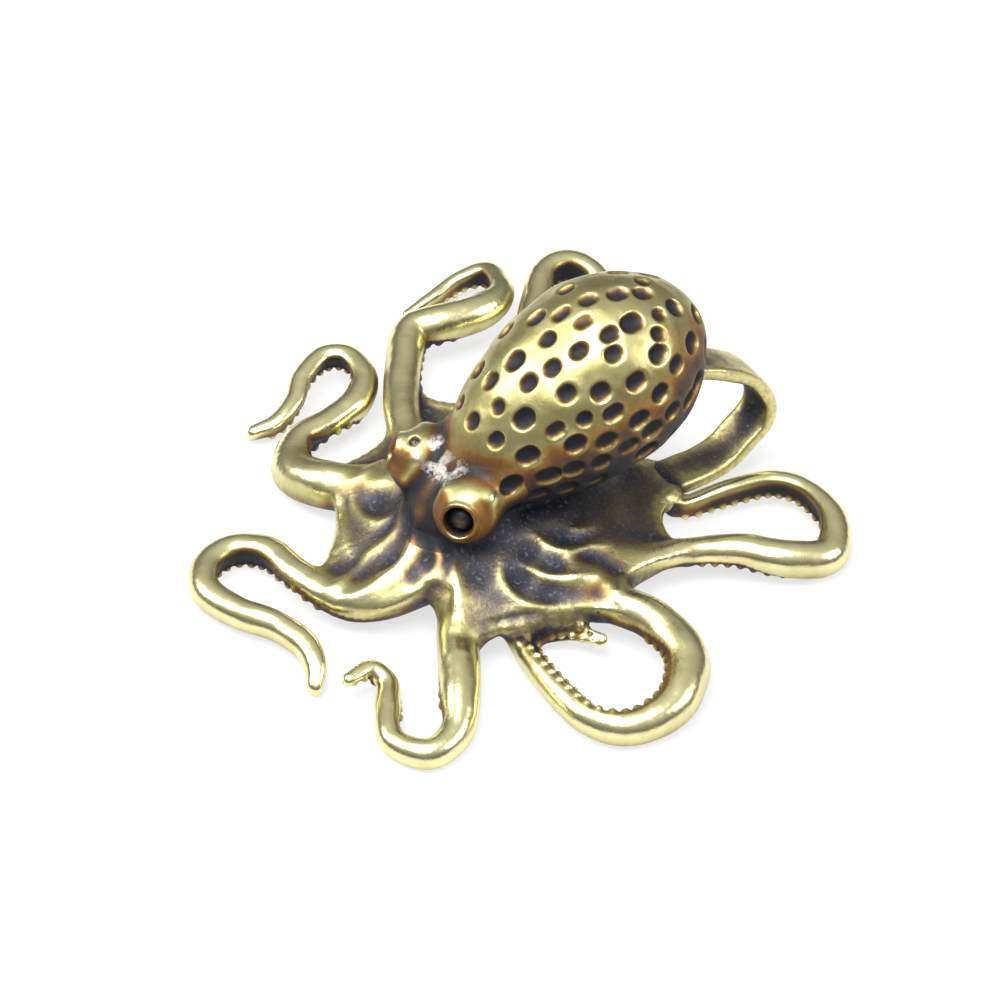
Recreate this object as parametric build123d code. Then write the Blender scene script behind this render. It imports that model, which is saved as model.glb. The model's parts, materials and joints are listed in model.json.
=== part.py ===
from build123d import *

import math
import os

# A cast brass octopus, in mm. It stands on its curled arms, with +Z up. The head looks
# towards -Y, +X is the animal's own left, and the origin is on the ground, under the
# middle of the footprint. Each form of the casting is a solid of its own: mantle, head,
# web, eight arms, two pupils and the flat loop that the charm hangs from.

# Sizes of the web between the arms
web_crown_height = 5.4
web_rim_height = 2.0
web_wall = 1.3

# Sizes of the arms
arm_reach = 25.0          # unit of the plan, nearly the distance of the farthest bends
foot_flat_depth = 0.15    # how deep an arm is cast flat where it touches the ground
rings_to_next_bend = 3    # sections that shape an arm from one entry of its route to the next

# Sizes of the head and its eyes
head_width = 7.0
head_length = 7.6
head_height = 4.8         # above the web's crown
brow_width = 4.4          # across each eye mound
brow_spacing = 6.4        # from mound to mound
eye_width = 2.0
eye_depth = 1.4           # from the mound's surface to the middle of the pupil
eye_turn = 42.0           # degrees, from straight ahead out to the side
eye_lift = 20.0           # degrees, above the horizon

# Sizes of the mantle
mantle_length = 20.5
mantle_width = 13.2
mantle_tilt = 21.5        # degrees, the rear end is the higher one
pit_width = 1.25
pit_depth = 0.45
pit_pitch = 3.5           # from the middle of one pit to the next

# Sizes of the hanging loop
loop_width = 3.2
loop_thickness = 1.0
loop_reach = 9.0          # how far it stands out behind its two ends

# Thickness of an arm across a thick bend, as a share of the reach, for the bends that it has
# to pass shrink and grow with the reach
arm_thickness_share = 0.128

# Middle of the web, and the radius at which its slope has run out, as shares of the reach
web_middle_shares = (0.0, -0.14)
web_spread_share = 0.72

# Slope of the web: distance out as a share of the spread, and fall as a share of the fall
# from crown to rim
web_slope_shares = [
    (0.0, 0.0), (0.20, 0.12), (0.39, 0.50), (0.56, 0.82), (0.78, 0.97), (1.0, 1.0),
]

# Rim of the web, as shares of the reach, once round from the front: the two places where
# an arm, or the loop's foot, carries the rim, then the middle of the hollow after it
web_rim_shares = [
    ((-0.08, -0.64), (0.05, -0.55), (0.12, -0.44)),
    ((0.22, -0.37), (0.30, -0.43), (0.37, -0.21)),
    ((0.42, -0.02), (0.44, 0.00), (0.36, 0.07)),
    ((0.33, 0.16), (0.35, 0.27), (0.21, 0.26)),
    ((0.12, 0.38), (-0.01, 0.38), (-0.03, 0.31)),
    ((-0.06, 0.25), (-0.12, 0.31), (-0.17, 0.20)),
    ((-0.37, 0.17), (-0.46, 0.23), (-0.49, 0.05)),
    ((-0.67, -0.02), (-0.53, -0.10), (-0.44, -0.26)),
    ((-0.45, -0.42), (-0.37, -0.39), (-0.19, -0.51)),
]

# Routes of the arms from root to tip: x and y as shares of the reach, the height of the
# underside as a share of the web's crown height, and the thickness as a share of a thick
# bend's. A negative height marks where the arm rests on the ground.
arm_route_shares = {
    "arm_front_right": [
        (0.05, -0.29, 0.44, 0.56), (0.05, -0.38, 0.44, 0.88), (0.06, -0.53, 0.20, 0.88),
        (0.00, -0.62, 0.11, 0.81), (-0.15, -0.67, 0.07, 0.78), (-0.28, -0.69, 0.04, 0.75),
        (-0.35, -0.75, -0.01, 0.75), (-0.34, -0.84, -0.01, 0.75), (-0.25, -0.90, 0.00, 0.72),
        (-0.13, -0.87, 0.02, 0.69), (-0.03, -0.81, 0.04, 0.66), (0.07, -0.78, 0.04, 0.62),
        (0.15, -0.79, 0.02, 0.56), (0.20, -0.82, -0.01, 0.44),
    ],
    "arm_front_left": [
        (0.12, -0.22, 0.44, 0.56), (0.16, -0.29, 0.44, 0.84), (0.21, -0.36, 0.30, 0.91),
        (0.29, -0.43, 0.11, 0.91), (0.45, -0.52, 0.04, 0.88), (0.56, -0.60, -0.01, 0.75),
        (0.59, -0.70, -0.01, 0.66), (0.50, -0.76, 0.00, 0.59), (0.39, -0.71, 0.04, 0.56),
        (0.32, -0.67, 0.09, 0.50), (0.27, -0.69, 0.20, 0.44), (0.28, -0.76, 0.26, 0.34),
    ],
    "arm_left_front": [
        (0.20, -0.13, 0.44, 0.50), (0.29, -0.08, 0.43, 0.81), (0.42, -0.01, 0.23, 0.84),
        (0.53, 0.05, 0.09, 0.94), (0.68, 0.05, 0.02, 1.00), (0.79, -0.06, -0.01, 0.94),
        (0.80, -0.19, -0.01, 0.81), (0.73, -0.27, 0.00, 0.75), (0.61, -0.29, 0.02, 0.69),
        (0.48, -0.29, 0.04, 0.62), (0.38, -0.27, 0.07, 0.56), (0.36, -0.21, 0.15, 0.47),
        (0.41, -0.15, 0.20, 0.38), (0.49, -0.10, 0.20, 0.31),
    ],
    "arm_left_rear": [
        (0.19, 0.01, 0.44, 0.50), (0.28, 0.05, 0.37, 0.69), (0.32, 0.14, 0.30, 0.62),
        (0.35, 0.28, 0.20, 0.62), (0.41, 0.40, 0.13, 0.75), (0.50, 0.51, 0.05, 0.81),
        (0.53, 0.62, -0.01, 0.81), (0.43, 0.70, 0.04, 0.72), (0.30, 0.70, 0.09, 0.62),
        (0.22, 0.64, 0.11, 0.59), (0.19, 0.52, 0.11, 0.59), (0.17, 0.42, 0.07, 0.53),
        (0.15, 0.37, 0.07, 0.44),
    ],
    "arm_right_front": [
        (-0.15, -0.25, 0.44, 0.56), (-0.22, -0.29, 0.44, 0.94), (-0.32, -0.35, 0.23, 1.00),
        (-0.41, -0.43, 0.09, 1.06), (-0.53, -0.46, -0.01, 1.00), (-0.62, -0.39, 0.04, 0.81),
        (-0.64, -0.28, 0.09, 0.72), (-0.67, -0.18, 0.13, 0.69), (-0.74, -0.11, 0.15, 0.66),
        (-0.84, -0.10, 0.17, 0.62), (-0.88, -0.16, 0.17, 0.59), (-0.84, -0.25, 0.15, 0.56),
        (-0.78, -0.31, 0.11, 0.53), (-0.74, -0.39, 0.05, 0.50), (-0.75, -0.46, 0.02, 0.41),
    ],
    "arm_right_rear": [
        (-0.22, -0.11, 0.44, 0.50), (-0.31, -0.12, 0.44, 0.81), (-0.43, -0.14, 0.28, 0.75),
        (-0.58, -0.08, 0.18, 0.81), (-0.73, 0.02, 0.17, 0.84), (-0.82, 0.10, 0.18, 0.88),
        (-0.80, 0.20, 0.23, 0.88), (-0.79, 0.32, 0.24, 0.81), (-0.84, 0.41, 0.23, 0.66),
        (-0.95, 0.44, 0.15, 0.59), (-0.99, 0.37, 0.07, 0.50), (-0.98, 0.27, 0.00, 0.44),
        (-0.97, 0.18, -0.01, 0.34),
    ],
    "arm_rear_right": [
        (-0.18, 0.02, 0.44, 0.50), (-0.31, 0.12, 0.37, 0.81), (-0.48, 0.25, 0.23, 0.84),
        (-0.62, 0.37, 0.23, 0.78), (-0.75, 0.48, 0.24, 0.72), (-0.83, 0.56, 0.24, 0.72),
        (-0.84, 0.64, 0.23, 0.72), (-0.78, 0.69, 0.15, 0.69), (-0.69, 0.67, 0.05, 0.62),
        (-0.63, 0.60, -0.01, 0.53), (-0.64, 0.53, -0.01, 0.41),
    ],
    "arm_rear_left": [
        (0.02, 0.10, 0.44, 0.50), (-0.02, 0.20, 0.37, 0.69), (-0.13, 0.33, 0.17, 0.78),
        (-0.26, 0.45, 0.05, 0.84), (-0.38, 0.56, -0.01, 0.81), (-0.45, 0.66, -0.01, 0.72),
        (-0.40, 0.73, 0.00, 0.62), (-0.32, 0.69, 0.04, 0.56), (-0.29, 0.62, 0.02, 0.44),
    ],
}

# How an arm's end is rounded: distances into the last half thickness, as shares of it
tip_round_shares = (0.5, 0.8, 0.95)

# Head sections from the foot up: height, width, length, and how far each lies ahead of the
# head's middle, as shares of the head's own sizes
head_section_shares = [
    (0.0, 1.16, 1.16, 0.00), (0.24, 1.0, 1.0, 0.00), (0.53, 0.92, 0.86, 0.03),
    (0.80, 0.76, 0.66, 0.09), (0.94, 0.46, 0.40, 0.12), (1.0, 0.10, 0.10, 0.12),
]
head_foot_share = 0.62    # of the web's crown height
head_ahead_share = 0.30   # of its length, from the middle of the web
brow_height_share = 0.75  # of the head, from its foot
brow_ahead_share = 0.17   # of its length, from the head's middle

# Half profile of the mantle: where its waist lies, as a share of the length from the front
# end, and the half widths of its flat front and of its round rear cap, as shares of the waist's
mantle_waist_share = 0.60
mantle_front_share = 0.26
mantle_cap_share = 0.72
mantle_height_share = 0.72  # of the head, from its foot
mantle_ahead_share = 0.10   # of the head's length, from its middle
pit_row_share = 0.9         # from ring to ring, as a share of the pitch
pit_stretch_shares = (0.34, 0.86)   # of the profile's own length
pit_stagger_shares = (0.25, 0.75)   # turn of every other ring, of the step from pit to pit

# The loop's foot on the plan, as shares of the reach, and its seat inside the mantle: how far
# below the axis, as a share of the half width, and how far along, as a share of the length
loop_foot_shares = (0.05, 0.35)
loop_seat_shares = (0.45, 0.82)

# Line of the loop from seat to foot: how far up it is on the straight way from foot to seat,
# and how far it stands out behind that way, as a share of the loop's reach
loop_line_shares = [
    (1.0, 0.0), (0.91, 0.17), (0.79, 0.48), (0.62, 0.79), (0.39, 0.97), (0.22, 0.96),
    (0.10, 0.80), (0.00, 0.62), (-0.02, 0.33), (0.0, 0.0),
]


def from_shares(shares):
    """Place on the plan, from shares of the reach."""
    return arm_reach * shares[0], arm_reach * shares[1]


def read_off(table, share):
    """Value at a share, on the straight runs between the pairs of a table."""
    for (near, value_near), (far, value_far) in zip(table, table[1:]):
        if share <= far:
            break
    part_way = (share - near) / (far - near)
    return value_near + part_way * (value_far - value_near)


arm_thickness = arm_reach * arm_thickness_share
web_spread = arm_reach * web_spread_share
middle_x, middle_y = from_shares(web_middle_shares)


def web_height(distance):
    """Height of the web's upper side at a distance from its middle."""
    fall = web_crown_height - web_rim_height
    return web_crown_height - fall * read_off(web_slope_shares, distance / web_spread)


def make_dome(drop):
    """The space below the web's upper side, lowered by a drop, down to the ground."""
    top = [
        (web_spread * share, web_height(web_spread * share) - drop) for share, _ in web_slope_shares
    ]
    rim_foot = (web_spread, 0)
    section = make_face([
        Spline(*top, tangents=[(1, 0), (1, 0)]),
        Polyline(top[-1], rim_foot, (0, 0), top[0]),
    ])
    return Pos(middle_x, middle_y) * revolve(Plane.XZ * section, Axis.Z)


def make_web():
    """The skirt between the arms, hollow below, with a hollow in its rim between each two."""
    rim = []
    for index, (arrive, leave, _) in enumerate(web_rim_shares):
        leave_before, hollow_before = web_rim_shares[index - 1][1:]
        corners = [from_shares(pair) for pair in (leave_before, hollow_before, arrive, leave)]
        rim.append(ThreePointArc(*corners[:3]))
        if arrive != leave:
            rim.append(Line(*corners[2:]))
    return (make_dome(0) - make_dome(web_wall)) & extrude(make_face(rim), web_crown_height)


def arm_stations(route_shares):
    """Points and radii along an arm."""
    stations = []
    for x_share, y_share, height_share, thickness_share in route_shares:
        radius = arm_thickness * thickness_share / 2
        underside = web_crown_height * height_share
        if height_share < 0:
            underside = -foot_flat_depth
        stations.append((Vector(*from_shares((x_share, y_share)), underside + radius), radius))
    return stations


def arm_line(stations):
    """The smooth line of an arm, and its radius at shares of the way along."""
    points = [point for point, _ in stations]
    way = [0.0]
    for point, after in zip(points, points[1:]):
        way.append(way[-1] + (after - point).length)
    widths = [(along / way[-1], radius) for along, (_, radius) in zip(way, stations)]
    return Spline(*points), widths


def arm_frame(line, share):
    """Frame on an arm's line, looking along it, with its own X down towards the keel."""
    ahead = line % share
    down = Vector(0, 0, -1)
    return Plane(origin=line @ share, x_dir=down - ahead * ahead.dot(down), z_dir=ahead)


def make_arm(name):
    """A round tapering arm on a smooth line, flat where it rests."""
    stations = arm_stations(arm_route_shares[name])
    line, widths = arm_line(stations)
    rounding = stations[-1][1] / line.length
    steps = rings_to_next_bend * (len(stations) - 1)
    faces = []
    for step in range(steps + 1):
        share = (1 - rounding) * step / steps
        faces.append(arm_frame(line, share) * Circle(read_off(widths, share)))
    for round_share in tip_round_shares:
        share = 1 - rounding * (1 - round_share)
        radius = read_off(widths, share) * math.sqrt(1 - round_share**2)
        faces.append(arm_frame(line, share) * Circle(radius))
    ground = Cylinder(2 * arm_reach, arm_reach, align=(Align.CENTER, Align.CENTER, Align.MAX))
    return loft(faces) - ground


head_foot = web_crown_height * head_foot_share
head_rise = web_crown_height + head_height - head_foot
head_middle_y = middle_y - head_length * head_ahead_share


def make_head_block():
    """The block between web and mantle, with an eye mound on each side."""
    faces = []
    for height_share, width_share, length_share, ahead_share in head_section_shares:
        section = Ellipse(head_width * width_share / 2, head_length * length_share / 2)
        section_y = head_middle_y - head_length * ahead_share
        faces.append(Pos(middle_x, section_y, head_foot + head_rise * height_share) * section)
    mounds = [Pos(*brow_middle(side)) * Sphere(brow_width / 2) for side in (1, -1)]
    return loft(faces) + mounds


def brow_middle(side):
    """Middle of an eye mound: side is 1 on the left and -1 on the right."""
    return Vector(
        middle_x + side * brow_spacing / 2,
        head_middle_y - head_length * brow_ahead_share,
        head_foot + head_rise * brow_height_share,
    )


def eye_frame(side):
    """Frame at a mound's surface where its eye is, looking outward."""
    turn, lift = math.radians(eye_turn), math.radians(eye_lift)
    level = math.cos(lift)
    outward = Vector(side * math.sin(turn) * level, -math.cos(turn) * level, math.sin(lift))
    return Plane(origin=brow_middle(side) + outward * brow_width / 2, z_dir=outward)


def make_pupil(side):
    """The ball that lies at the bottom of an eye socket."""
    return eye_frame(side) * Pos(0, 0, -eye_depth) * Sphere(eye_width / 2)


def make_eye_socket(side):
    """The round hole over a pupil, out through the mound's surface."""
    upward = (Align.CENTER, Align.CENTER, Align.MIN)
    way_out = Cylinder(eye_width / 2, eye_depth + brow_width, align=upward)
    return eye_frame(side) * Pos(0, 0, -eye_depth) * way_out


def mantle_frame():
    """Frame at the mantle's front end, with its own Z back along the axis and Y down."""
    tilt = math.radians(mantle_tilt)
    front = Vector(
        middle_x,
        head_middle_y - head_length * mantle_ahead_share,
        head_foot + head_rise * mantle_height_share,
    )
    return Plane(origin=front, x_dir=(1, 0, 0), z_dir=(0, math.cos(tilt), math.sin(tilt)))


def mantle_profile():
    """Half outline of the mantle, from its front end back, in three tangent arcs."""
    half_width = mantle_width / 2
    waist = mantle_length * mantle_waist_share
    cap_radius = half_width * mantle_cap_share
    cap_middle = mantle_length - cap_radius
    step_back = cap_middle - waist
    step_in = half_width - cap_radius
    flank_radius = (step_back**2 + step_in**2) / (2 * step_in) + cap_radius
    outward = Vector(flank_radius - half_width, step_back).normalized()
    joint = Vector(0, cap_middle) + outward * cap_radius
    return Wire([
        TangentArc(joint, (0, mantle_length), tangent=(-outward.Y, outward.X)),
        TangentArc((half_width, waist), joint, tangent=(0, 1)),
        TangentArc((half_width, waist), (half_width * mantle_front_share, 0), tangent=(0, -1)),
    ])


def make_pits(profile):
    """Balls that leave shallow round pits, in staggered rings round the mantle."""
    ball_radius = pit_width**2 / (8 * pit_depth) + pit_depth / 2
    start, end = pit_stretch_shares
    rings = round((end - start) * profile.length / (pit_pitch * pit_row_share))
    balls = []
    for ring in range(rings + 1):
        share = start + (end - start) * ring / rings
        ahead = profile % share
        outward = Vector(ahead.Y, -ahead.X)
        middle = profile @ share + outward * (ball_radius - pit_depth)
        count = round(2 * math.pi * middle.X / pit_pitch)
        for place in range(count):
            around = 360 * (place + pit_stagger_shares[ring % 2]) / count
            balls.append(Rot(0, 0, around) * Pos(middle.X, 0, middle.Y) * Sphere(ball_radius))
    return balls


def make_mantle():
    """The egg-shaped body, larger at the rear and pitted all over."""
    profile = mantle_profile()
    axis_line = Polyline((0, mantle_length), (0, 0), (mantle_width / 2 * mantle_front_share, 0))
    egg = revolve(Plane.XZ * make_face(profile.edges() + [axis_line]), Axis.Z)
    return mantle_frame() * (egg - make_pits(profile))


def make_loop_band():
    """The flat band of the hanging loop, from inside the mantle to inside the web."""
    foot_x, foot_y = from_shares(loop_foot_shares)
    distance = math.hypot(foot_x - middle_x, foot_y - middle_y)
    foot = Vector(foot_x, foot_y, web_height(distance) - web_wall / 2)
    below_share, along_share = loop_seat_shares
    seat = mantle_frame().from_local_coords(
        Vector(0, mantle_width / 2 * below_share, mantle_length * along_share)
    )
    way_up = seat - foot
    back = Vector(0, 1, 0)
    sheet = Plane(origin=foot, x_dir=back, z_dir=back.cross(way_up))
    line = []
    for up_share, back_share in loop_line_shares:
        place = sheet.to_local_coords(foot + way_up * up_share + back * loop_reach * back_share)
        line.append((place.X, place.Y))
    middle = Spline(*line)
    steps = 2 * len(line)
    edges = []
    for side in (1, -1):
        edge = []
        for step in range(steps + 1):
            share = step / steps
            ahead = middle % share
            across = Vector(-ahead.Y, ahead.X) * side * loop_thickness / 2
            edge.append(middle @ share + across)
        edges.append(edge)
    outer, inner = edges
    face = make_face([
        Spline(*outer), Line(outer[-1], inner[-1]), Spline(*inner), Line(inner[0], outer[0]),
    ])
    return extrude(sheet * face, loop_width / 2, both=True)


def largest(shape):
    """The one body of a cut form, without crumbs that a cut parts from it."""
    return shape.solids().sort_by(SortBy.VOLUME)[-1]


pieces = {name: make_arm(name) for name in arm_route_shares}
arms = list(pieces.values())
pieces["left_pupil"] = make_pupil(1)
pieces["right_pupil"] = make_pupil(-1)
pieces["mantle"] = make_mantle()
pieces["web"] = largest(make_web() - arms)
eyes = [pieces["left_pupil"], pieces["right_pupil"], make_eye_socket(1), make_eye_socket(-1)]
pieces["head"] = largest(make_head_block() - eyes - pieces["mantle"] - make_dome(0) - arms)
pieces["hanging_loop"] = largest(make_loop_band() - pieces["mantle"] - pieces["web"] - arms)

footprint = Compound(list(pieces.values())).bounding_box()
to_origin = Pos(-footprint.center().X, -footprint.center().Y)
print("moved to the origin by", to_origin.position, "overall", footprint.size)

os.makedirs("parts", exist_ok=True)
for name, piece in pieces.items():
    export_step(to_origin * piece, f"parts/{name}.step")
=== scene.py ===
import json
import math

import bpy
import numpy as np
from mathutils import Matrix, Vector


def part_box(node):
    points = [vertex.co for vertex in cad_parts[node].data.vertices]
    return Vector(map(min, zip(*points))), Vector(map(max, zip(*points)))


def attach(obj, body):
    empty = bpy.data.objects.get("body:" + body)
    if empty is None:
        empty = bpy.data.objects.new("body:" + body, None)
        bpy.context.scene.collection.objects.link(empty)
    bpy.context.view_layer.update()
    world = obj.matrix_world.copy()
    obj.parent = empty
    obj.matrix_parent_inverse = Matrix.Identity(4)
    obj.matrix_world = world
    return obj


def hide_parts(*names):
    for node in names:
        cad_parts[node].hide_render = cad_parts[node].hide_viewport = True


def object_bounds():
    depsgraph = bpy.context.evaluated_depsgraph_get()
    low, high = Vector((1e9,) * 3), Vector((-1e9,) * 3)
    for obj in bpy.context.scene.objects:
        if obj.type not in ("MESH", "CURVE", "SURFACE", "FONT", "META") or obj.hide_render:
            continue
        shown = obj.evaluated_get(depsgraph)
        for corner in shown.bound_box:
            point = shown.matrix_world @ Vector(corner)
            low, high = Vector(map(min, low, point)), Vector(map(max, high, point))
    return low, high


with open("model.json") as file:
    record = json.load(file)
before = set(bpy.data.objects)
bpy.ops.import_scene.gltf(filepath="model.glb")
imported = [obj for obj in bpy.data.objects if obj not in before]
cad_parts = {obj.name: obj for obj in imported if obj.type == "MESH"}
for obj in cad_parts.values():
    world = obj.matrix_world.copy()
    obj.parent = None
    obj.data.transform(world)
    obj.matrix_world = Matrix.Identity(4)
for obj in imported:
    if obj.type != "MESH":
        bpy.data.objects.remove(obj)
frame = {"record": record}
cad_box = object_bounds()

# A cast brass octopus, worked out in mm as distances on a fine grid. Each form has its own
# field of distances. They flow into one skin, which is then parted again where the forms
# meet, so that each piece is closed and stands for its own solid.
mm = 0.001
pitch = 0.12
far = 5.0                 # distance that stands for anything out of reach
reach_out = 1.2           # how far round a form its distances are worked out
seam_overlap = 0.2        # how far a piece runs on below its neighbour at a seam
seam_sink = 0.4           # how steeply it sinks there
line_steps = 7            # stretches between two given places of a smooth line

# Places on the plan count from the web's own zero, which lies behind the eyes
eyes_ahead = 7.631
pupil_corners = [list(corner) for name in ("left_pupil", "right_pupil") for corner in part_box(name)]
eyes_middle = np.mean(pupil_corners, axis=0) / mm
plan_zero = np.array((eyes_middle[0], eyes_middle[1] + eyes_ahead, 0.0))

# Camera: degrees round from the front and up, and how a sensor of 36 mm would see the octopus
view_turn = 58.0
view_rise = 43.0
view_distance = 350.0
view_target = np.array((-1.50, -1.91, 3.27)) + plan_zero
image_side = 1000
pixels_to_mm = 14.5       # at the target
sensor_width = 36.0
mantle_sight_start = 40.0     # before the target, where lines of sight towards the mantle start
skin_sight_start = 30.0   # the same towards the skin, and how far they go on
skin_sight_length = 60.0

# Sizes of the web. Its rim runs between the arms and the loop's foot.
web_crown_height = 5.4
web_rim_height = 2.0
web_wall = 1.3
web_spread = 18.0
web_steepness = 0.88      # share of a height over the slope that is distance to it
web_edge = 0.5            # how widely the sheet's edges are rounded
web_headroom = 1.5        # for what swells up above the crown
web_middle = np.array((0.0, -3.5)) + plan_zero[:2]
swell_height = 0.7
swell_ends = (7.0, 13.0)  # from the web's middle
rim_radius = 0.5
rim_drop = 0.45           # of the rolled rim's middle below the web's upper side
rim_blend = 0.35
hollow_steps = 10         # stretches of the rim along a hollow

# Slope of the web: distance out as a share of the spread, and fall as a share of the fall
# from crown to rim
web_slope_shares = [(0.0, 0.0), (0.20, 0.12), (0.39, 0.50), (0.56, 0.82), (0.78, 0.97), (1.0, 1.0)]

# Rim of the web, as shares of the arms' reach, once round from the front: the two places
# where an arm, or the loop's foot, carries the rim, then the middle of the hollow after it
web_rim_shares = [
    ((-0.08, -0.64), (0.05, -0.55), (0.12, -0.44)),
    ((0.22, -0.37), (0.30, -0.43), (0.37, -0.21)),
    ((0.42, -0.02), (0.44, 0.00), (0.36, 0.07)),
    ((0.33, 0.16), (0.35, 0.27), (0.21, 0.26)),
    ((0.12, 0.38), (-0.01, 0.38), (-0.03, 0.31)),
    ((-0.06, 0.25), (-0.12, 0.31), (-0.17, 0.20)),
    ((-0.37, 0.17), (-0.46, 0.23), (-0.49, 0.05)),
    ((-0.67, -0.02), (-0.53, -0.10), (-0.44, -0.26)),
    ((-0.45, -0.42), (-0.37, -0.39), (-0.19, -0.51)),
]

# Folds of the web: pixels of the photograph along each crest, and its height above the web
fold_pixels = [
    ([(409, 463), (404, 477), (407, 491), (404, 511), (399, 529), (389, 541), (370, 554), (359, 569),
      (340, 583), (326, 589)], 0.75),
    ([(421, 509), (416, 531), (413, 546), (401, 563), (381, 580), (361, 594), (344, 598)], 0.72),
    ([(431, 539), (439, 551), (440, 569), (430, 580), (416, 591), (401, 602), (376, 611)], 0.72),
    ([(454, 560), (456, 578), (459, 596), (457, 612)], 0.60),
    ([(354, 486), (352, 500), (361, 514), (376, 523), (390, 519), (399, 506)], 0.48),
    ([(409, 423), (399, 441), (383, 460), (361, 477), (345, 484)], 0.40),
    ([(337, 496), (338, 513), (344, 534), (352, 556)], 0.42),
    ([(503, 546), (499, 569), (505, 588), (520, 603), (550, 609), (592, 607), (622, 612)], 0.66),
    ([(517, 562), (539, 575), (569, 579), (594, 575)], 0.60),
    ([(533, 531), (542, 542), (561, 552), (588, 547), (609, 545)], 0.60),
    ([(566, 527), (580, 530), (596, 526)], 0.28),
    ([(622, 610), (616, 592), (626, 573), (652, 561), (682, 553)], 0.40),
]
# Hollows of the web: pixels at their middles, and how wide and how deep they are
scoop_pixels = [
    ((374, 501), 2.4, 0.42), ((392, 560), 1.8, 0.25), ((414, 575), 1.5, 0.25), ((427, 560), 1.2, 0.25),
    ((520, 578), 1.9, 0.32), ((547, 596), 1.7, 0.22), ((527, 550), 1.6, 0.30), ((556, 563), 2.0, 0.32),
    ((563, 536), 1.9, 0.32), ((585, 555), 1.4, 0.25), ((477, 575), 2.2, 0.30), ((600, 592), 1.6, 0.2),
]
fold_width = 0.29         # of a crest, from its line to where it has nearly run out
fold_round = 0.1          # of the crest itself
fold_steps = 4            # stretches between two pixels of a crest
fold_room = 0.4           # round a crest, for its slopes

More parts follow.
